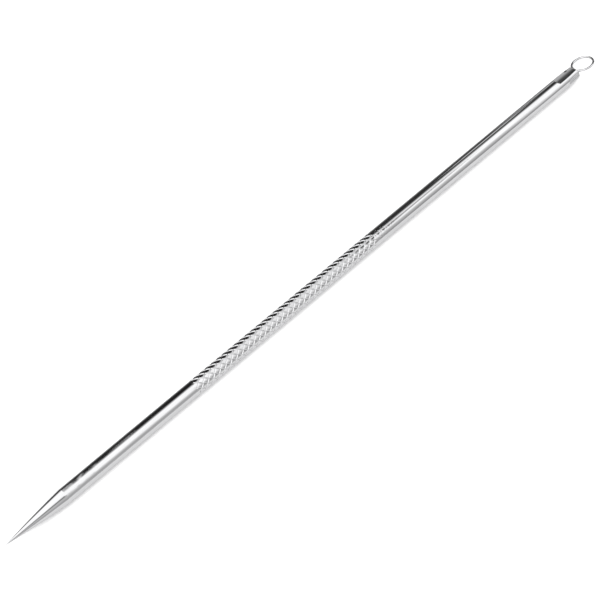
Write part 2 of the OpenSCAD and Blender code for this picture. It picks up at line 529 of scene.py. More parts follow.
@dataclass(frozen=True)
class PressedEnd:
    """The slotted end, pressed flat on both faces of the loop's plane and narrowed to its end face.

    Attributes:
        tool: The frame's places.
        length: Length of the pressed stretch.
        half_thick: Half the thickness between the two flats.
        unpressed: How far out the flats lie before the pressing, as a share of the rod's radius.
        crown: How much a flat falls off towards its sides, as a share of the half thickness.
        step: Length of the ramp from the round shank down to a flat.
        taper: How much the sides narrow up to the end face.
        taper_start: Length of the pressed stretch before that.
        edge_power: Power of the mean that joins flats and sides; a higher one gives a sharper edge.
        edge_round: Radius of the worn rim of the end face.
        flat_round: Radius of the wear on the far edge of each flat.
        slot_depth: Length of the slot from the end face.
        slot_half: Half the slot's width.
        lip_round: How far the slot's lips are worn down.
        lip_shade: Width of the painted shade along the lips.
        lip_columns: Columns of points from the slot's middle to a lip.
        burr_back: Distance of the burr from the end face.
        burr_aside: Distance of the burr from the axis, across the flat.
        burr_height: Height of the burr.
        burr_len: Its width along the rod.
        burr_turn: Its width round the rod, in radians.
        open_rings: Rings along the slot.
        shut_rings: Rings before it.
        rim_rings: Rings over the worn rim.
        cap_rows: Rows across each half of the end face.
    """

    tool: ToolFrame
    length: float = 4.8 * MM
    half_thick: float = 0.9 * MM
    unpressed: float = 1.15
    crown: float = 0.11
    step: float = 0.65 * MM
    taper: float = 0.16 * MM
    taper_start: float = 1.3 * MM
    edge_power: float = 30.0
    edge_round: float = 0.07 * MM
    flat_round: float = 0.25 * MM
    slot_depth: float = 2.6 * MM
    slot_half: float = 0.25 * MM
    lip_round: float = 0.03 * MM
    lip_shade: float = 0.025 * MM
    lip_columns: int = 4
    burr_back: float = 1.35 * MM
    burr_aside: float = 0.69 * MM
    burr_height: float = 0.065 * MM
    burr_len: float = 0.17 * MM
    burr_turn: float = 0.14
    open_rings: int = 44
    shut_rings: int = 40
    rim_rings: int = 5
    cap_rows: int = 5

    @property
    def start_x(self) -> float:
        """Where the pressing starts."""
        return self.tool.end_x - self.length

    @property
    def slot_x(self) -> float:
        """The bottom of the slot."""
        return self.tool.end_x - self.slot_depth

    def shut_stations(self) -> np.ndarray:
        """Places of the rings before the slot."""
        return np.linspace(self.start_x, self.slot_x, self.shut_rings)[1:]

    def open_stations(self) -> np.ndarray:
        """Places of the rings along the slot, up to the rounded rim."""
        return np.linspace(self.slot_x, self.tool.end_x - self.edge_round, self.open_rings)

    def side_r(self, x: np.ndarray) -> np.ndarray:
        """The radius at the sides, which narrows over the last stretch on the first half of an S-curve.

        Args:
            x: Places along the rod.

        Returns:
            The radius at each place.
        """
        start = self.start_x + self.taper_start
        half_curve = smooth_step(x, start, 2.0 * self.tool.end_x - start)
        return self.tool.rod_r - 2.0 * self.taper * half_curve

    def radius(self, x: np.ndarray, angle: np.ndarray) -> np.ndarray:
        """A circle cut by two crowned flats, with edges rounded by a power mean of the circle and the flats.

        The burr is a bell curve along the rod times another one round it, added to that.

        Args:
            x: Places along the rod.
            angle: Angles round it, from across towards facing.

        Returns:
            The radius for each pair of the two.
        """
        pressed = smooth_step(x, self.start_x, self.start_x + self.step)
        wide = self.unpressed * self.tool.rod_r
        flat = wide + (self.half_thick - wide) * pressed
        crowned = flat * (1.0 - self.crown * pressed * np.cos(angle) ** 2)
        near_end = smooth_step(x, self.tool.end_x - 2.0 * self.flat_round, self.tool.end_x)
        worn = self.flat_round * (1.0 - np.sqrt(1.0 - near_end**2))
        to_flat = (crowned - worn) / np.maximum(np.abs(np.sin(angle)), LEAST_SINE)
        side = self.side_r(x)
        mean = (side**-self.edge_power + to_flat**-self.edge_power) ** (-1.0 / self.edge_power)
        burr_angle = math.atan2(self.half_thick, self.burr_aside)
        burr_x = self.tool.end_x - self.burr_back
        burr = bell(x, burr_x, self.burr_len) * bell(angle, burr_angle, self.burr_turn)
        return mean + self.burr_height * burr

    def bend_angles(self, x: np.ndarray, columns: int) -> np.ndarray:
        """Moves the columns next to the slot so that one lies on each of its four lips.

        Args:
            x: Places along the rod, one to a row.
            columns: How many columns go round.

        Returns:
            An angle for each row and column, in order round the rod.
        """
        even = math.tau / columns
        lip = even * self.lip_columns
        angle = np.arange(columns) * even
        turn = np.mod(angle + math.pi / 2.0, math.pi) - math.pi / 2.0
        true_lip = np.arcsin(self.slot_half / self.side_r(x))[:, None]
        beyond = true_lip + (np.abs(turn) - lip) * (math.pi / 2.0 - true_lip) / (math.pi / 2.0 - lip)
        bent = np.where(np.abs(turn) <= lip, np.abs(turn) * true_lip / lip, beyond) * np.sign(turn)
        near = smooth_step(x, self.start_x, self.slot_x)[:, None]
        return angle + (bent - turn) * near


@dataclass(frozen=True)
class HandleRod:
    """The whole rod: one closed mesh of rings, which parts in two halves round the slot.

    Attributes:
        tool: The frame's places.
        point: The lancet point.
        front: The shank behind it.
        grip: The knurl.
        rear: The shank behind the knurl.
        end: The pressed end with the slot.
    """

    tool: ToolFrame
    point: LancetPoint
    front: FrontShank
    grip: KnurledGrip
    rear: RearShank
    end: PressedEnd

    @classmethod
    def from_frame(cls, tool: ToolFrame) -> "HandleRod":
        """Makes the stretches so that each starts where the one before it ends.

        Args:
            tool: The frame's places.

        Returns:
            The rod, ready to build.
        """
        grip = KnurledGrip(tool)
        end = PressedEnd(tool)
        rear = RearShank(tool, tool.grip_x + grip.length, end.start_x)
        return cls(tool, LancetPoint(tool), FrontShank(tool), grip, rear, end)

    def radius(self, x: np.ndarray, angle: np.ndarray) -> np.ndarray:
        """The point's radius up to the shoulder, and the pressed end's from there on, plus each change.

        Args:
            x: Places along the rod, one to a row.
            angle: Angles round it, for each row and column.

        Returns:
            The radius for each row and column.
        """
        column = x[:, None]
        on_point = self.point.radius(column, angle)
        behind = self.end.radius(column, angle)
        base = np.where(column < self.tool.shoulder_x, on_point, behind)
        return base + self.front.change(column, angle) + self.grip.change(column, angle)

    def surface(self, x: np.ndarray, angle: np.ndarray, radius: np.ndarray) -> np.ndarray:
        """Points at these radii and angles, where the angle turns from across towards facing."""
        return self.tool.place(x[:, None], radius * np.cos(angle), radius * np.sin(angle))

    def build(self) -> bpy.types.Object:
        """Builds the closed rings, then the two halves with their walls and end faces.

        Returns:
            The rod's object.
        """
        shell = Shell()
        columns = self.grip.columns()
        closed = np.concatenate(
            [
                self.point.stations(),
                self.front.stations(),
                self.grip.stations(),
                self.rear.stations(),
                self.end.shut_stations(),
            ]
        )
        angle = self.end.bend_angles(closed, columns)
        body = self.surface(closed, angle, self.radius(closed, angle))
        shell.add(body, wrap=True, grooves=self.grip.grooves(closed[:, None], angle))
        self.add_half(shell, columns, 0)
        self.add_half(shell, columns, columns // 2)
        self.add_slot_floor(shell, body[-1])
        return shell.build("steel_rod")

    def add_half(self, shell: Shell, columns: int, first: int) -> None:
        """Adds one half of the slotted end: its round side, the wall of the slot and the end face.

        The round side is the rod's surface between two lips, and its last rings draw in on a quarter
        circle. The wall is straight between the two lips of each ring. The end face runs in even
        steps from the wall to the round side.

        Args:
            shell: Takes the grids.
            columns: How many columns go round the rod.
            first: The column in the middle of the slot's opening, before the half.
        """
        end = self.end
        lip = end.lip_columns
        chosen = np.arange(first + lip, first + columns // 2 - lip + 1)
        along = end.open_stations()
        turn = np.linspace(0.0, math.pi / 2.0, end.rim_rings)[1:]
        x = np.concatenate([along, along[-1] + end.edge_round * np.sin(turn)])
        inset = np.concatenate([np.zeros(len(along)), end.edge_round * (1.0 - np.cos(turn))])[:, None]
        angle = end.bend_angles(x, columns)[:, chosen]
        radius = self.radius(x, angle)
        half_turn = first * math.tau / columns
        height = radius * np.sin(angle - half_turn)
        lips = end.lip_round * bell(height, end.slot_half, 2.0 * end.lip_round)
        radius = radius - inset - lips * smooth_step(x, end.slot_x, end.slot_x + end.step)[:, None]
        aside = radius * np.cos(angle)
        above = radius * np.sin(angle)
        sign = math.cos(half_turn)
        above[:, [0, -1]] = sign * end.slot_half
        # Painted shade: a dark line along each lip of the slot
        lip_shade = bell(np.abs(above), end.slot_half, end.lip_shade) * (x >= end.slot_x)[:, None]
        shell.add(self.tool.place(x[:, None], aside, above), grooves=lip_shade)
        share = np.linspace(0.0, 1.0, len(chosen))[None, :]
        wall_aside = aside[:, :1] + (aside[:, -1:] - aside[:, :1]) * share
        shell.add(self.tool.place(x[:, None], wall_aside, np.full_like(wall_aside, sign * end.slot_half)))
        rows = np.linspace(0.0, 1.0, end.cap_rows)[:, None]
        cap_aside = wall_aside[-1] + (aside[-1] - wall_aside[-1]) * rows
        cap_above = sign * end.slot_half + (above[-1] - sign * end.slot_half) * rows
        shell.add(self.tool.place(x[-1], cap_aside, cap_above))

    def add_slot_floor(self, shell: Shell, ring: np.ndarray) -> None:
        """Adds the floor of the slot, straight from the points between two lips to those across the rod.

        Args:
            shell: Takes the grid.
            ring: The body's last ring of points.
        """
        columns = len(ring)
        lip = self.end.lip_columns
        near = ring[np.arange(-lip, lip + 1) % columns]
        far = ring[columns // 2 - np.arange(-lip, lip + 1)]
        steps = columns // 2 - 2 * lip
        share = np.linspace(0.0, 1.0, steps + 1)[:, None, None]
        shell.add(near[None] + (far - near)[None] * share)


# The wire loop


@dataclass(frozen=True)
class Arc:
    """A stretch of the wire's centre line in the loop's plane, from one angle to another.

    Attributes:
        centre: Its middle, as x and distance aside.
        radius: Its radius.
        start: The angle where it starts, turned from along the rod towards across.
        end: The angle where it ends.
    """

    centre: tuple[float, float]
    radius: float
    start: float
    end: float

    def points(self, step: float) -> np.ndarray:
        """Places and headings along the arc.

        Args:
            step: The largest turn from point to point, in radians.

        Returns:
            Rows of x, distance aside and heading.
        """
        count = max(2, math.ceil(abs(self.end - self.start) / step) + 1)
        angle = np.linspace(self.start, self.end, count)
        way = math.copysign(math.pi / 2.0, self.end - self.start)
        x = self.centre[0] + self.radius * np.cos(angle)
        aside = self.centre[1] + self.radius * np.sin(angle)
        return np.stack([x, aside, angle + way], axis=-1)


@dataclass(frozen=True)
class WireEye:
    """The loop: one wire bent to an oval, with both legs side by side in the rod's slot.

    Attributes:
        tool: The frame's places.
        wire_r: The wire's radius.
        open_len: The loop's opening along the rod.
        open_wide: Its opening across the rod.
        bend_inner_r: Inner radius of the bend from a leg into the oval.
        leg_gap: Gap between the two legs.
        leg_len: Length of a leg inside the rod.
        turn_step: Largest turn from ring to ring on the oval, in radians.
        bend_step: Largest turn from ring to ring on the bends, in radians.
        sides: Points round the wire.
        leg_rings: Rings along a leg.
        end_rings: Rings over a leg's rounded end.
        draw_share: How far the drawn wire's radius swells and thins, as a share.
        draw_thinner: How far it lies below the full radius, in the same swells.
        draw_rates: Rates of the two waves that swell it, in radians to a millimetre.
    """

    tool: ToolFrame
    wire_r: float = 0.2 * MM
    open_len: float = 3.22 * MM
    open_wide: float = 3.0 * MM
    bend_inner_r: float = 0.1 * MM
    leg_gap: float = 0.1 * MM
    leg_len: float = 2.4 * MM
    turn_step: float = math.radians(3.0)
    bend_step: float = math.radians(12.0)
    sides: int = 28
    leg_rings: int = 8
    end_rings: int = 4
    draw_share: float = 0.014
    draw_thinner: float = 1.2
    draw_rates: tuple[float, float] = (1.9, 0.7)

    def half_route(self, side: float) -> np.ndarray:
        """The centre line from a leg's end to the far end of the loop: a line, a bend and three arcs.

        The oval is made of arcs that meet at 45 degrees. The bend turns outwards from the leg and
        touches both the leg and the oval.

        Args:
            side: 1 for the half on the side of across, -1 for the other, which is given as in a mirror.

        Returns:
            Rows of x, distance aside and heading.
        """
        half_long = self.open_len / 2.0 + self.wire_r
        half_wide = self.open_wide / 2.0 + self.wire_r
        shift = (half_long - half_wide) / (2.0 - math.sqrt(2.0))
        end_r = half_long - shift
        side_r = half_wide + shift
        offset = side * self.tool.eye_shift
        bend_r = self.bend_inner_r + self.wire_r
        leg = self.wire_r + self.leg_gap / 2.0
        near = (self.tool.eye_x - shift, offset)
        rise = leg + bend_r - near[1]
        along = math.sqrt((end_r + bend_r) ** 2 - rise**2)
        meet = math.atan2(rise, -along)
        eighth = math.pi / 4.0
        arcs = (
            Arc((near[0] - along, leg + bend_r), bend_r, -2.0 * eighth, meet - math.pi),
            Arc(near, end_r, meet, 3.0 * eighth),
            Arc((self.tool.eye_x, offset - shift), side_r, 3.0 * eighth, eighth),
            Arc((self.tool.eye_x + shift, offset), end_r, eighth, 0.0),
        )
        steps = (self.bend_step, self.turn_step, self.turn_step, self.turn_step)
        bends = [arc.points(step) for arc, step in zip(arcs, steps)]
        leg_x = np.linspace(self.tool.end_x - self.leg_len, bends[0][0, 0], self.leg_rings)
        straight = np.stack([leg_x, np.full_like(leg_x, leg), np.zeros_like(leg_x)], axis=-1)
        return np.concatenate([straight[:-1], bends[0], *[bend[1:] for bend in bends[1:]]])

    def route(self) -> np.ndarray:
        """Both halves as one line: the second runs back, mirrored.

        Returns:
            Rows of x, distance aside and heading.
        """
        first = self.half_route(1.0)
        second = self.half_route(-1.0)[-2::-1]
        back = np.stack([second[:, 0], -second[:, 1], math.pi - second[:, 2]], axis=-1)
        return np.concatenate([first, back])

    def build(self) -> bpy.types.Object:
        """Carries a ring of points along the route, with a radius that two sine waves swell and thin.

        Returns:
            The loop's object.
        """
        shell = Shell()
        route = self.route()
        steps = np.hypot(np.diff(route[:, 0]), np.diff(route[:, 1]))
        run = np.concatenate([[0.0], np.cumsum(steps)]) / MM
        quick, slow = self.draw_rates
        wave = np.sin(quick * run) * np.cos(slow * run + 1.0)
        radius = self.wire_r * (1.0 - self.draw_share * (self.draw_thinner + wave))
        turn = np.arange(self.sides) * math.tau / self.sides
        around = np.cos(turn)[None] * radius[:, None]
        above = np.sin(turn)[None] * radius[:, None]
        heading = route[:, 2:]
        x = route[:, :1] - around * np.sin(heading)
        aside = route[:, 1:2] + around * np.cos(heading)
        shell.add(self.tool.place(x, aside, above), wrap=True)
        self.add_end(shell, route[0], radius[0], turn)
        self.add_end(shell, route[-1], radius[-1], turn)
        return shell.build("wire_eye")

    def add_end(self, shell: Shell, stop: np.ndarray, radius: float, turn: np.ndarray) -> None:
        """Closes a leg with a half ball that faces the lancet point.

        Args:
            shell: Takes the grid.
            stop: The route's end: x, distance aside and heading.
            radius: The wire's radius there.
            turn: The ring's angles.
        """
        rise = np.linspace(0.0, math.pi / 2.0, self.end_rings)[:, None]
        shrunk = radius * np.cos(rise)
        x = stop[0] - radius * np.sin(rise)
        around = np.cos(turn)[None] * shrunk * math.cos(stop[2])
        shell.add(self.tool.place(x, stop[1] + around, np.sin(turn)[None] * shrunk), wrap=True)


# The solder


@dataclass(frozen=True)
class SolderSeam:
    """Solder between the slot's lips, a little sunk, which ends in a low bead round the two legs.

    Attributes:
        tool: The frame's places.
        end: The pressed end that it fills.
        sunk: How far it lies below the lips.
        meniscus: How hollow its sides are.
        ripple: How much the hollow comes and goes along the seam, as a share.
        ripple_rate: Rate of that, in radians to a millimetre.
        gap: Gap to the slot's walls and floor.
        lip_shade: Width of the painted shade along its edges, at the lips.
        bead_r: Radius of the bead on the end face.
        bead_rise: Height of the bead.
        collar: Height and width of the collars where the wire leaves it.
        leg_aside: Distance of each leg from the axis.
        leg_r: Radius of a leg.
        side_points: Points across a hollow side.
        face_points: Points across a straight face.
        rings: Rings along the slot.
        bead_rings: Rings over the bead.
    """

    tool: ToolFrame
    end: PressedEnd
    sunk: float = 0.06 * MM
    meniscus: float = 0.02 * MM
    ripple: float = 0.25
    ripple_rate: float = 5.0
    gap: float = 0.002 * MM
    lip_shade: float = 0.05 * MM
    bead_r: float = 0.65 * MM
    bead_rise: float = 0.1 * MM
    collar: float = 0.07 * MM
    leg_aside: float = 0.25 * MM
    leg_r: float = 0.2 * MM
    side_points: int = 9
    face_points: int = 21
    rings: int = 30
    bead_rings: int = 12

    def outline(self, x: np.ndarray) -> tuple[np.ndarray, np.ndarray]:
        """The slot's section: two straight faces on its walls and two hollow sides between the lips.

        Args:
            x: Places along the rod.

        Returns:
            Distances aside and above, one row to a place and one column to a point of the outline.
        """
        half = self.end.slot_half - self.gap
        up = np.linspace(-half, half, self.side_points)[None, :-1]
        level = np.linspace(1.0, -1.0, self.face_points)[None, :-1]
        reach = (self.end.side_r(x) - self.sunk)[:, None]
        wave = 1.0 + self.ripple * np.sin(self.ripple_rate * x[:, None] / MM)
        side = reach + self.meniscus * wave * ((up / half) ** 2 - 1.0)
        face = reach * level
        climb = np.broadcast_to(up, side.shape)
        top = np.full_like(face, half)
        aside = np.concatenate([side, face, -side, -face], axis=1)
        above = np.concatenate([climb, top, -climb, -top], axis=1)
        return aside, above

    def build(self) -> bpy.types.Object:
        """Carries the outline along the slot, then turns it into a round bead that closes over the legs.

        The bead rises on a quarter circle, and round each leg it rises further by an exponential that
        falls with the distance from the wire.

        Returns:
            The solder's object.
        """
        shell = Shell()
        inner = self.end.slot_x + self.gap
        outer = self.tool.end_x - self.sunk
        x = np.linspace(inner, outer, self.rings)
        aside, above = self.outline(x)
        body = self.tool.place(x[:, None], aside, above)
        back = np.linspace(0.0, 1.0, self.side_points)[:, None]
        shell.add(self.tool.place(x[0], aside[0] * back, above[0] * back), wrap=True)
        # Painted shade: a dark line along the solder's edges, at the slot's lips
        edges = bell(np.abs(above), self.end.slot_half, self.lip_shade)
        shell.add(body, wrap=True, grooves=edges)
        turn = np.arctan2(above[-1], aside[-1])
        rise = np.linspace(0.0, math.pi / 2.0, self.bead_rings)[:, None]
        bead_aside = self.bead_r * np.cos(rise) * np.cos(turn)[None]
        bead_above = self.bead_r * np.cos(rise) * np.sin(turn)[None]
        to_leg = np.hypot(np.abs(bead_aside) - self.leg_aside, bead_above) - self.leg_r
        collar = self.collar * np.exp(-np.abs(to_leg) / self.collar) * np.sin(rise)
        bead_x = self.tool.end_x + self.bead_rise * np.sin(rise) + collar
        bead = self.tool.place(bead_x, bead_aside, bead_above)
        shell.add(np.concatenate([body[-1:], bead]), wrap=True)
        return shell.build("solder_seam")


# Finishes


class Graph:
    """Short words for making the nodes of a tree and joining them."""

    def __init__(self, tree: bpy.types.NodeTree) -> None:
        """Empties the tree.

        Args:
            tree: A material's or the world's node tree.
        """
        self.tree = tree
        tree.nodes.clear()

    def node(self, kind: str, inputs: dict | None = None, **settings: object) -> bpy.types.Node:
        """Makes a node.

        Args:
            kind: The node's type name.
            inputs: For each input, by name or number, a value or the output that feeds it.
            settings: Values for the node's own properties.

        Returns:
            The new node.
        """
        made = self.tree.nodes.new(kind)
        for key, value in settings.items():
            setattr(made, key, value)
        for key, value in (inputs or {}).items():
            if isinstance(value, Socket):
                self.tree.links.new(value, made.inputs[key])
            else:
                made.inputs[key].default_value = value
        return made

    def math(self, operation: str, first: object, second: object = 0.0) -> Socket:
        """The result of a sum on one or two numbers or outputs."""
        return self.node("ShaderNodeMath", {0: first, 1: second}, operation=operation).outputs[0]

    def between(self, value: object, low: float, high: float, to_low: float, to_high: float) -> Socket:
        """Maps a value's range onto another and stops at its ends.

        Args:
            value: The number or output that is mapped.
            low: The value that gives to_low.
            high: The value that gives to_high.
            to_low: The first end of the result.
            to_high: The other end of the result.

        Returns:
            The mapped output.
        """
        inputs = {"Value": value, "From Min": low, "From Max": high, "To Min": to_low, "To Max": to_high}
        return self.node("ShaderNodeMapRange", inputs).outputs["Result"]

    def noise(self, coordinates: object, stretch: Triple, detail: float) -> Socket:
        """Seedless noise with this many waves to a millimetre along each axis.

        Args:
            coordinates: Object coordinates, in metres.
            stretch: Waves to a millimetre along x, y and z.
            detail: How many finer layers are added.

        Returns:
            The noise, from 0 to 1.
        """
        scale = tuple(waves / MM for waves in stretch)
        mapped = self.node("ShaderNodeMapping", {"Vector": coordinates, "Scale": scale})
        inputs = {"Vector": mapped.outputs["Vector"], "Scale": 1.0, "Detail": detail}
        return self.node("ShaderNodeTexNoise", inputs).outputs["Fac"]


@dataclass(frozen=True)
class MetalFinish:
    """A bright metal with fine polishing lines, cloudy roughness and painted grey shade in its grooves.

    Attributes:
        slot: The record's slot that it paints.
        tint: The metal's colour.
        dark_tint: Its colour in the bottom of a groove, as painted shade, and in dull patches.
        smooth: Roughness of the best polished patches.
        dull: Roughness of the dullest ones.
        cloud: Waves of the dull patches to a millimetre, along x, y and z.
        lines: Waves of the polishing lines to a millimetre, along x, y and z.
        line_depth: Height of the polishing lines.
        pit_depth: Height of the small pits and dimples.
        pits: Waves of the pits to a millimetre.
        patch_noise: The noise's values where a dull patch starts and where it is full.
        patch_dirt: How dark a dull patch is, where 1 is the dark tint.
        unshaded_depth: Depth in a groove down to which no shade is painted.
        layers: Finer layers of the noise for the patches, the lines and the pits.
    """

    slot: Slot
    tint: Triple
    dark_tint: Triple
    smooth: float
    dull: float
    cloud: Triple
    lines: Triple
    line_depth: float
    pit_depth: float
    pits: float
    patch_noise: tuple[float, float] = (0.35, 0.7)
    patch_dirt: float = 0.08
    unshaded_depth: float = 0.2
    layers: Triple = (4.0, 3.0, 2.0)

    def material(self) -> bpy.types.Material:
        """Builds the node tree: noise for roughness and tint, painted shade from the groove value, and two
        bumps in a row for lines and pits.

        Returns:
            The material, named for its slot.
        """
        made = bpy.data.materials.new(self.slot.value)
        made.use_nodes = True
        graph = Graph(made.node_tree)
        place = graph.node("ShaderNodeTexCoord").outputs["Object"]
        groove = graph.node("ShaderNodeAttribute", attribute_name=GROOVE_SHADE_ATTRIBUTE).outputs["Fac"]
        cloud = graph.noise(place, self.cloud, self.layers[0])
        patch = graph.between(cloud, *self.patch_noise, 0.0, 1.0)
        # Painted shade: the groove value darkens the tint in the knurl's grooves and along the slot's lips
        groove_shade = graph.between(groove, self.unshaded_depth, 1.0, 0.0, 1.0)
        # The dark mix is the stronger of the painted groove shade and the darker dull patches
        shade_and_dirt = graph.math("MAXIMUM", groove_shade, graph.math("MULTIPLY", patch, self.patch_dirt))
        tint = graph.node("ShaderNodeMix", {"Factor": shade_and_dirt}, data_type="RGBA")
        tint.inputs["A"].default_value = (*self.tint, 1.0)
        tint.inputs["B"].default_value = (*self.dark_tint, 1.0)
        rough = graph.between(graph.math("MAXIMUM", shade_and_dirt, patch), 0.0, 1.0, self.smooth, self.dull)
        lines = graph.noise(place, self.lines, self.layers[1])
        pits = graph.noise(place, (self.pits, self.pits, self.pits), self.layers[2])
        first = graph.node("ShaderNodeBump", {"Height": lines, "Strength": 1.0, "Distance": self.line_depth})
        inputs = {
            "Height": pits,
            "Strength": 1.0,
            "Distance": self.pit_depth,
            "Normal": first.outputs["Normal"],
        }
        second = graph.node("ShaderNodeBump", inputs)
        inputs = {
            "Base Color": tint.outputs["Result"],
            "Metallic": 1.0,
            "Roughness": rough,
            "Normal": second.outputs["Normal"],
        }
        shader = graph.node("ShaderNodeBsdfPrincipled", inputs)
        graph.node("ShaderNodeOutputMaterial", {"Surface": shader.outputs["BSDF"]})
        return made


def record_tint(record: dict, slot: Slot) -> Triple:
    """The base colour that the record gives this slot."""
    tints = {material["slot"]: tuple(material["base_color"]) for material in record["materials"]}
    return tints[slot.value]


def darker(tint: Triple, share: float) -> Triple:
    """The tint times the share."""
    return tuple(channel * share for channel in tint)


def polished_steel(record: dict) -> MetalFinish:
    """The rod: mirror polished, with very fine lines along it.

    Args:
        record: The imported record.

    Returns:
        The finish.
    """
    tint = record_tint(record, Slot.STEEL)
    return MetalFinish(
        slot=Slot.STEEL,
        tint=tint,
        dark_tint=darker(tint, 0.3),
        smooth=0.03,
        dull=0.09,
        cloud=(0.25, 1.4, 1.4),
        lines=(1.2, 22.0, 22.0),
        line_depth=0.0002 * MM,
        pit_depth=0.0010 * MM,
        pits=2.4,
    )


def bright_wire(record: dict) -> MetalFinish:
    """The loop: drawn wire, with coarser lines and small dimples from the bending.

    Args:
        record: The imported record.

    Returns:
        The finish.
    """
    tint = record_tint(record, Slot.WIRE)
    return MetalFinish(
        slot=Slot.WIRE,
        tint=tint,
        dark_tint=darker(tint, 0.7),
        smooth=0.05,
        dull=0.12,
        cloud=(2.0, 2.0, 2.0),
        lines=(9.0, 9.0, 9.0),
        line_depth=0.0004 * MM,
        pit_depth=0.0016 * MM,
        pits=4.0,
    )


def dull_solder(record: dict) -> MetalFinish:
    """The solder: grey, rough and lumpy.

    Args:
        record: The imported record.

    Returns:
        The finish.
    """
    tint = record_tint(record, Slot.SOLDER)
    return MetalFinish(
        slot=Slot.SOLDER,
        tint=tint,
        dark_tint=darker(tint, 0.3),
        smooth=0.28,
        dull=0.5,
        cloud=(3.0, 3.0, 3.0),
        lines=(6.0, 6.0, 6.0),
        line_depth=0.006 * MM,
        pit_depth=0.010 * MM,
        pits=11.0,
    )


# Floor, light and camera


@dataclass(frozen=True)
class LightStop:
    """How bright the studio is in one direction round the rod.

    Attributes:
        angle: Degrees from straight up, positive towards +Y.
        level: Brightness, where 1 is white.
    """

    angle: float
    level: float


@dataclass(frozen=True)
class LightRow:
    """The studio's brightness round the rod, for directions with one X part.

    Attributes:
        along: The directions' X part.
        stops: The brightness from the near side, over the top, to the far side.
    """

    along: float
    stops: tuple[LightStop, ...]

    @classmethod
    def of(cls, along: float, *stops: tuple[float, float]) -> "LightRow":
        """A row whose stops are given as pairs of an angle and a level."""
        return cls(along, tuple(LightStop(*stop) for stop in stops))

    def again_at(self, along: float) -> "LightRow":
        """The same stops for directions with another X part."""
        return LightRow(along, self.stops)


@dataclass(frozen=True)
class LightStrip:
    """A narrow brighter or darker strip in the studio, seen only from a stretch of the rod.

    Attributes:
        angle: Degrees from straight up, positive towards +Y.
        width: Its half width, in degrees.
        change: What it adds to the brightness.
        start: The X part of the directions where it starts.
        end: The X part where it ends.
        soft: The length of its soft ends, in the same terms.
    """

    angle: float
    width: float
    change: float
    start: float
    end: float
    soft: float = 0.02

    def level(self, graph: Graph, round_rod: Socket, along: Socket) -> Socket:
        """The change at each direction: a straight rise and fall round the rod times a window along it.

        Args:
            graph: The world's node tree.
            round_rod: The direction's angle from straight up, in radians.
            along: The direction's X part.

        Returns:
            What the strip adds to the brightness.
        """
        apart = graph.math("ABSOLUTE", graph.math("SUBTRACT", round_rod, math.radians(self.angle)))
        across = graph.between(apart, 0.0, math.radians(self.width), self.change, 0.0)
        rise = graph.between(along, self.start, self.start + self.soft, 0.0, 1.0)
        fall = graph.between(along, self.end - self.soft, self.end, 1.0, 0.0)
        return graph.math("MULTIPLY", across, graph.math("MULTIPLY", rise, fall))


# The studio's rows, from directions towards the point to those towards the loop. Each has the near
# side, the light overhead and the far side, in this order.

# Seen in faces that slant steeply towards the point, and in the knurl's walls that face it
SLANT_LIGHT = LightRow.of(-0.85, (-90.0, 0.5), (-30.0, 0.9), (25.0, 1.0), (42.0, 0.1), (90.0, 0.04))
WALL_LIGHT = LightRow.of(
    -0.6,
    (-90.0, 0.6), (-60.0, 0.9),
    (-35.0, 1.4), (62.0, 1.5),
    (76.0, 0.6), (90.0, 0.1),
)

# Seen in the lancet point
POINT_LIGHT = LightRow.of(
    -0.14,
    (-90.0, 0.55), (-72.0, 0.42), (-55.0, 0.6), (-30.0, 0.52),
    (-20.0, 1.3), (56.0, 1.3),
    (70.0, 0.45), (80.0, 0.04), (90.0, 0.04),
)

# Seen in the front shank and in the grip's diamonds, where the light overhead is a little dimmer
FRONT_NEAR = ((-90.0, 0.58), (-68.0, 0.44), (-58.0, 0.5), (-44.0, 0.8))
FRONT_FAR = ((27.0, 0.46), (37.0, 0.08), (46.0, 0.015), (76.0, 0.015), (90.0, 0.06))
FRONT_LIGHT = LightRow.of(0.252, *FRONT_NEAR, (-30.0, 1.25), (8.0, 1.32), (16.0, 1.15), *FRONT_FAR)
GRIP_LIGHT = LightRow.of(0.336, *FRONT_NEAR, (-30.0, 0.98), (8.0, 1.03), (16.0, 0.9), *FRONT_FAR)

# Seen in the rear shank, where the far side comes 4 degrees nearer towards the pressed end
REAR_NEAR = ((-90.0, 0.42), (-80.0, 0.36), (-66.0, 0.46), (-51.0, 0.62), (-36.0, 1.02))
REAR_TOP = ((-28.0, 1.3), (5.0, 1.32))
REAR_FAR = ((76.0, 0.02), (88.0, 0.12))
REAR_LIGHT = LightRow.of(0.42, *REAR_NEAR, *REAR_TOP, (16.0, 1.0), (25.0, 0.4), (35.0, 0.05), *REAR_FAR)
LAST_LIGHT = LightRow.of(0.49, *REAR_NEAR, *REAR_TOP, (12.0, 1.0), (21.0, 0.4), (31.0, 0.05), *REAR_FAR)

# Seen in the pressed end, whose flat shows the far side
END_LIGHT = LightRow.of(
    0.512,
    (-90.0, 0.42), (-82.0, 0.36), (-72.0, 0.44), (-60.0, 0.75), (-48.0, 1.05),
    (-36.0, 1.3), (5.0, 1.32), (12.0, 1.0),
    (21.0, 0.4), (31.0, 0.05), (58.0, 0.02), (66.0, 0.12), (75.0, 0.42), (88.0, 0.75),
)

# Seen in faces that slant towards the loop, and in the knurl's walls that face it
TILTED_LIGHT = LightRow.of(
    0.75,
    (-90.0, 0.4), (-60.0, 0.6), (-45.0, 1.0),
    (-30.0, 1.3), (5.0, 1.3), (15.0, 0.5),
    (25.0, 0.05), (60.0, 0.03), (90.0, 0.2),
)
BACK_LIGHT = LightRow.of(
    0.9,
    (-90.0, 0.7), (-30.0, 0.8),
    (-15.0, 0.3), (5.0, 0.08), (20.0, 0.03),
    (45.0, 0.05), (58.0, 0.6), (90.0, 0.7),
)


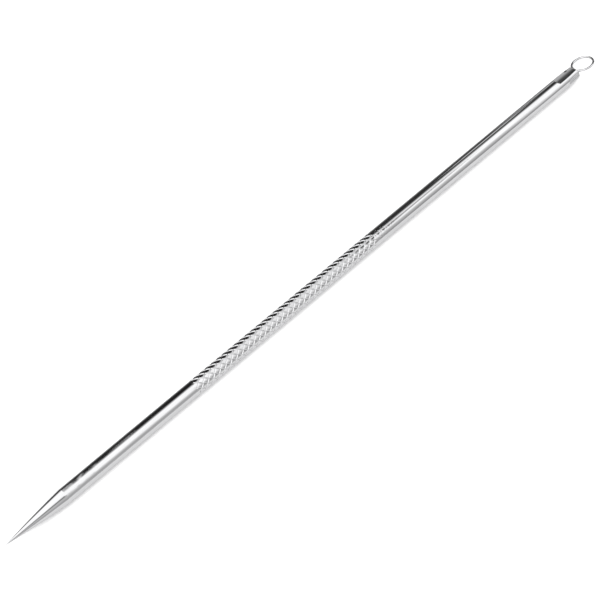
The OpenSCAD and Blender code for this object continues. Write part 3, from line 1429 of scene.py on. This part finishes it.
@dataclass(frozen=True)
class Studio:
    """A white floor under a soft overhead light, between a grey near side and a dark far side.

    The light depends on the direction round the rod's axis, by each row's stops, and on the
    direction along it, from row to row.

    Attributes:
        rows: The brightness round the rod, row by row along it.
        strips: Narrow changes to that.
        darkest: The least brightness.
        floor_half: Half the floor's width.
        floor_colour: The floor's grey.
        floor_glow: Its glow for the camera, which lifts it to white.
        floor_glow_in_metal: Its glow in reflections.
        shadow_glow: Its glow for the camera in the tool's shadow.
        shadow_reach: How far round the tool the shadow reaches.
        shadow_dark: Share of open sky at which the shadow is full.
        shadow_light: Share of open sky at which it ends.
        shadow_samples: Rays for that share.
        dim_from: The Y place where the floor starts to darken in reflections.
        dim_to: The Y place where that ends.
        dim_level: How bright the floor is from there on, in reflections.
    """

    rows: tuple[LightRow, ...] = (
        SLANT_LIGHT,
        WALL_LIGHT,
        POINT_LIGHT,
        POINT_LIGHT.again_at(0.226),
        FRONT_LIGHT,
        FRONT_LIGHT.again_at(0.322),
        GRIP_LIGHT,
        GRIP_LIGHT.again_at(0.402),
        REAR_LIGHT,
        LAST_LIGHT,
        END_LIGHT,
        TILTED_LIGHT,
        BACK_LIGHT,
    )
    strips: tuple[LightStrip, ...] = (
        LightStrip(angle=-24.5, width=15.0, change=-0.65, start=-0.12, end=0.10),
        LightStrip(angle=46.0, width=22.0, change=0.6, start=0.2725, end=0.2815, soft=0.003),
        LightStrip(angle=-6.7, width=22.0, change=-1.6, start=0.406, end=0.438, soft=0.008),
        LightStrip(angle=-6.7, width=16.0, change=-1.0, start=0.430, end=0.475, soft=0.01),
        LightStrip(angle=55.0, width=12.0, change=0.8, start=0.462, end=0.510, soft=0.01),
    )
    darkest: float = 0.01
    floor_half: float = 3.0
    floor_colour: float = 0.86
    floor_glow: float = 0.55
    floor_glow_in_metal: float = 0.08
    shadow_glow: float = 0.18
    shadow_reach: float = 1.9 * MM
    shadow_dark: float = 0.30
    shadow_light: float = 0.62
    shadow_samples: int = 8
    dim_from: float = 1.5 * MM
    dim_to: float = 9.0 * MM
    dim_level: float = 0.1

    def ramp(self, graph: Graph, share: Socket, stops: tuple[LightStop, ...]) -> Socket:
        """A ramp of greys over the directions from -90 to 90 degrees.

        Args:
            graph: The world's node tree.
            share: The direction as a share of that range.
            stops: The levels along it.

        Returns:
            The brightness there.
        """
        made = graph.node("ShaderNodeValToRGB", {"Fac": share})
        elements = made.color_ramp.elements
        while len(elements) < len(stops):
            elements.new(0.5)
        for element, stop in zip(elements, stops):
            element.position = stop.angle / 180.0 + 0.5
            element.color = (stop.level, stop.level, stop.level, 1.0)
        return made.outputs["Color"]

    def build_world(self) -> None:
        """Makes the world: white for the camera, and the soft light for everything else."""
        world = bpy.data.worlds.new("studio")
        bpy.context.scene.world = world
        world.use_nodes = True
        graph = Graph(world.node_tree)
        coordinates = graph.node("ShaderNodeTexCoord").outputs["Generated"]
        parts = graph.node("ShaderNodeSeparateXYZ", {0: coordinates}).outputs
        round_rod = graph.math("ARCTAN2", parts["Y"], parts["Z"])
        share = graph.between(round_rod, -math.pi / 2.0, math.pi / 2.0, 0.0, 1.0)
        level = self.ramp(graph, share, self.rows[0].stops)
        for last, row in zip(self.rows, self.rows[1:]):
            reached = graph.between(parts["X"], last.along, row.along, 0.0, 1.0)
            here = self.ramp(graph, share, row.stops)
            mixed = graph.node("ShaderNodeMix", {0: reached, 2: level, 3: here}, data_type="FLOAT")
            level = mixed.outputs[0]
        for strip in self.strips:
            level = graph.math("ADD", level, strip.level(graph, round_rod, parts["X"]))
        level = graph.math("MAXIMUM", level, self.darkest)
        seen = graph.node("ShaderNodeLightPath").outputs["Is Camera Ray"]
        soft = graph.node("ShaderNodeBackground", {"Color": WHITE, "Strength": level})
        white = graph.node("ShaderNodeBackground", {"Color": WHITE, "Strength": 1.0})
        inputs = {0: seen, 1: soft.outputs["Background"], 2: white.outputs["Background"]}
        shader = graph.node("ShaderNodeMixShader", inputs)
        graph.node("ShaderNodeOutputWorld", {"Surface": shader.outputs["Shader"]})

    def floor_material(self) -> bpy.types.Material:
        """Matt white, with a glow for the camera that lifts it to white and keeps the shadow.

        Returns:
            The floor's material.
        """
        made = bpy.data.materials.new("floor_white")
        made.use_nodes = True
        graph = Graph(made.node_tree)
        path = graph.node("ShaderNodeLightPath").outputs
        in_metal = graph.math("MAXIMUM", path["Is Glossy Ray"], path["Is Transmission Ray"])
        reach = {"Distance": self.shadow_reach}
        sky = graph.node("ShaderNodeAmbientOcclusion", reach, samples=self.shadow_samples)
        open_share = sky.outputs["AO"]
        shade = (self.shadow_dark, self.shadow_light)
        lift = graph.between(open_share, *shade, self.shadow_glow, self.floor_glow)
        place = graph.node("ShaderNodeTexCoord").outputs["Object"]
        aside = graph.node("ShaderNodeSeparateXYZ", {0: place}).outputs["Y"]
        dimmed = graph.between(aside, self.dim_from, self.dim_to, 1.0, self.dim_level)
        shown = graph.math("ADD", graph.math("MULTIPLY", in_metal, graph.math("SUBTRACT", dimmed, 1.0)), 1.0)
        glow = graph.math(
            "ADD",
            graph.math("MULTIPLY", path["Is Camera Ray"], lift),
            graph.math("MULTIPLY", in_metal, graph.math("MULTIPLY", dimmed, self.floor_glow_in_metal)),
        )
        level = graph.math("MULTIPLY", shown, self.floor_colour)
        colour = graph.node("ShaderNodeCombineColor", {0: level, 1: level, 2: level}).outputs["Color"]
        matt = graph.node("ShaderNodeBsdfDiffuse", {"Color": colour})
        light = graph.node("ShaderNodeEmission", {"Color": WHITE, "Strength": glow})
        both = graph.node("ShaderNodeAddShader", {0: matt.outputs["BSDF"], 1: light.outputs["Emission"]})
        graph.node("ShaderNodeOutputMaterial", {"Surface": both.outputs["Shader"]})
        return made

    def build_floor(self) -> bpy.types.Object:
        """Makes the floor under the tool.

        Returns:
            The floor's object.
        """
        half = self.floor_half
        mesh = bpy.data.meshes.new("floor")
        corners = [(-half, -half, 0.0), (half, -half, 0.0), (half, half, 0.0), (-half, half, 0.0)]
        mesh.from_pydata(corners, [], [(0, 1, 2, 3)])
        floor = bpy.data.objects.new("floor", mesh)
        bpy.context.scene.collection.objects.link(floor)
        mesh.materials.append(self.floor_material())
        return floor


@dataclass(frozen=True)
class PhotoCamera:
    """The camera at the photo's viewing angle.

    Attributes:
        azimuth: Degrees round the tool; 0 looks along +Y.
        elevation: Degrees above the horizon.
        distance: From the camera to what it looks at.
        target: What it looks at, at the height of the rod's axis.
        focal_share: Focal length as a share of the picture's width.
        sensor: The sensor's width in millimetres.
        near_share: Where the view starts, as a share of the distance.
        far_share: Where it ends, as a share of the distance.
    """

    azimuth: float = -44.65
    elevation: float = 57.3
    distance: float = 306.0 * MM
    target: tuple[float, float, float] = (-4.39 * MM, 0.055 * MM, 1.25 * MM)
    focal_share: float = 2065.0 / 600.0
    sensor: float = 36.0
    near_share: float = 0.05
    far_share: float = 40.0

    def build(self) -> bpy.types.Object:
        """Makes the camera and gives it to the scene.

        Returns:
            The camera's object.
        """
        turn = math.radians(self.azimuth)
        rise = math.radians(self.elevation)
        level = math.cos(rise)
        back = Vector((math.sin(turn) * level, -math.cos(turn) * level, math.sin(rise)))
        data = bpy.data.cameras.new("photo_camera")
        data.sensor_width = self.sensor
        data.lens = self.sensor * self.focal_share
        data.clip_start = self.distance * self.near_share
        data.clip_end = self.distance * self.far_share
        camera = bpy.data.objects.new("photo_camera", data)
        camera.location = Vector(self.target) + back * self.distance
        camera.rotation_euler = back.to_track_quat("Z", "Y").to_euler()
        bpy.context.scene.collection.objects.link(camera)
        bpy.context.scene.camera = camera
        return camera


# Putting it together


def dress(piece: bpy.types.Object, finish: MetalFinish, node: CadNode) -> None:
    """Gives a piece its finish, lets it ride on the root body and stand for its CAD node.

    Args:
        piece: The new piece.
        finish: What it is painted with.
        node: The CAD node that it replaces.
    """
    piece.data.materials.append(finish.material())
    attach(piece, "root")
    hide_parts(node.value)
    log.info("%s stands for %s", piece.name, node.value)


def main() -> None:
    """Builds the three pieces, then the floor, the light and the camera."""
    logging.basicConfig(level=logging.INFO, format="%(message)s")
    scene = bpy.context.scene
    scene.view_settings.view_transform = "Standard"
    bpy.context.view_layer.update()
    tool = ToolFrame.from_frame(frame["record"])
    rod = HandleRod.from_frame(tool)
    dress(rod.build(), polished_steel(frame["record"]), CadNode.ROD)
    dress(WireEye(tool).build(), bright_wire(frame["record"]), CadNode.LOOP)
    dress(SolderSeam(tool, rod.end).build(), dull_solder(frame["record"]), CadNode.SOLDER)
    studio = Studio()
    studio.build_floor()
    studio.build_world()
    PhotoCamera().build()


if __name__ == "__main__":
    main()
